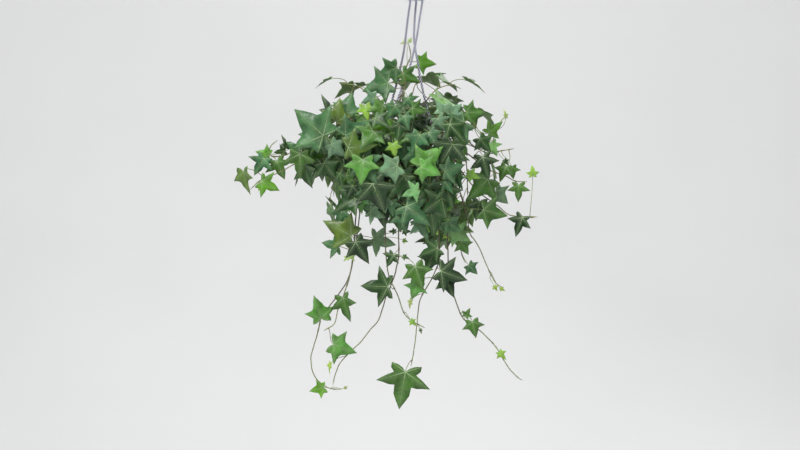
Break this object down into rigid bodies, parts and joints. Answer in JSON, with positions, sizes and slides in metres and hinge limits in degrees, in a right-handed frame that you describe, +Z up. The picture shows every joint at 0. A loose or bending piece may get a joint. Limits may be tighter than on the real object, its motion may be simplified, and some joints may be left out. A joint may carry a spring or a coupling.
{
  "type": "hanging potted ivy",
  "caption": "Ivy with lobed green leaves and long trailing stems, growing in a small tapered pot that hangs by three twisted cords from a hook.",
  "frame": {"origin": "underside of the hook's bend, where the hook hangs on a rail", "axes": "+Z up, +X to the right as seen from the front, -Y towards the front"},
  "size_m": [0.4538, 0.2596, 0.6646],
  "materials": {
    "hanger_plastic": "moulded, pale lilac grey",
    "cord_plastic": "twisted strands, pale lilac grey with dark grooves",
    "pot_plastic": "thin moulded black plastic",
    "potting_soil": "damp peat, crumbly",
    "ivy": "waxy green leaves with pale veins on brown to green stems"
  },
  "bodies": {
    "root": {"canopy_01": "ivy", "canopy_02": "ivy", "canopy_03": "ivy", "canopy_04": "ivy", "canopy_05": "ivy", "canopy_06": "ivy", "canopy_07": "ivy", "canopy_08": "ivy", "canopy_09": "ivy", "canopy_10": "ivy", "canopy_11": "ivy", "canopy_12": "ivy", "canopy_13": "ivy", "canopy_14": "ivy", "canopy_15": "ivy", "canopy_16": "ivy", "canopy_17": "ivy", "canopy_18": "ivy", "cord_front": "cord_plastic", "cord_left": "cord_plastic", "cord_right": "cord_plastic", "hanger_hook": "hanger_plastic", "left_high": "ivy", "left_low": "ivy", "left_middle": "ivy", "pot": "pot_plastic", "right_curl": "ivy", "right_high": "ivy", "right_low": "ivy", "right_middle": "ivy", "right_thin": "ivy", "rim_clip_front": "hanger_plastic", "rim_clip_left": "hanger_plastic", "rim_clip_right": "hanger_plastic", "soil": "potting_soil", "top_sprig": "ivy", "trail_1": "ivy", "trail_2": "ivy", "trail_3": "ivy", "trail_4": "ivy", "trail_5": "ivy", "trail_6": "ivy", "trail_7": "ivy", "trail_8": "ivy"}
  },
  "joints": []
}
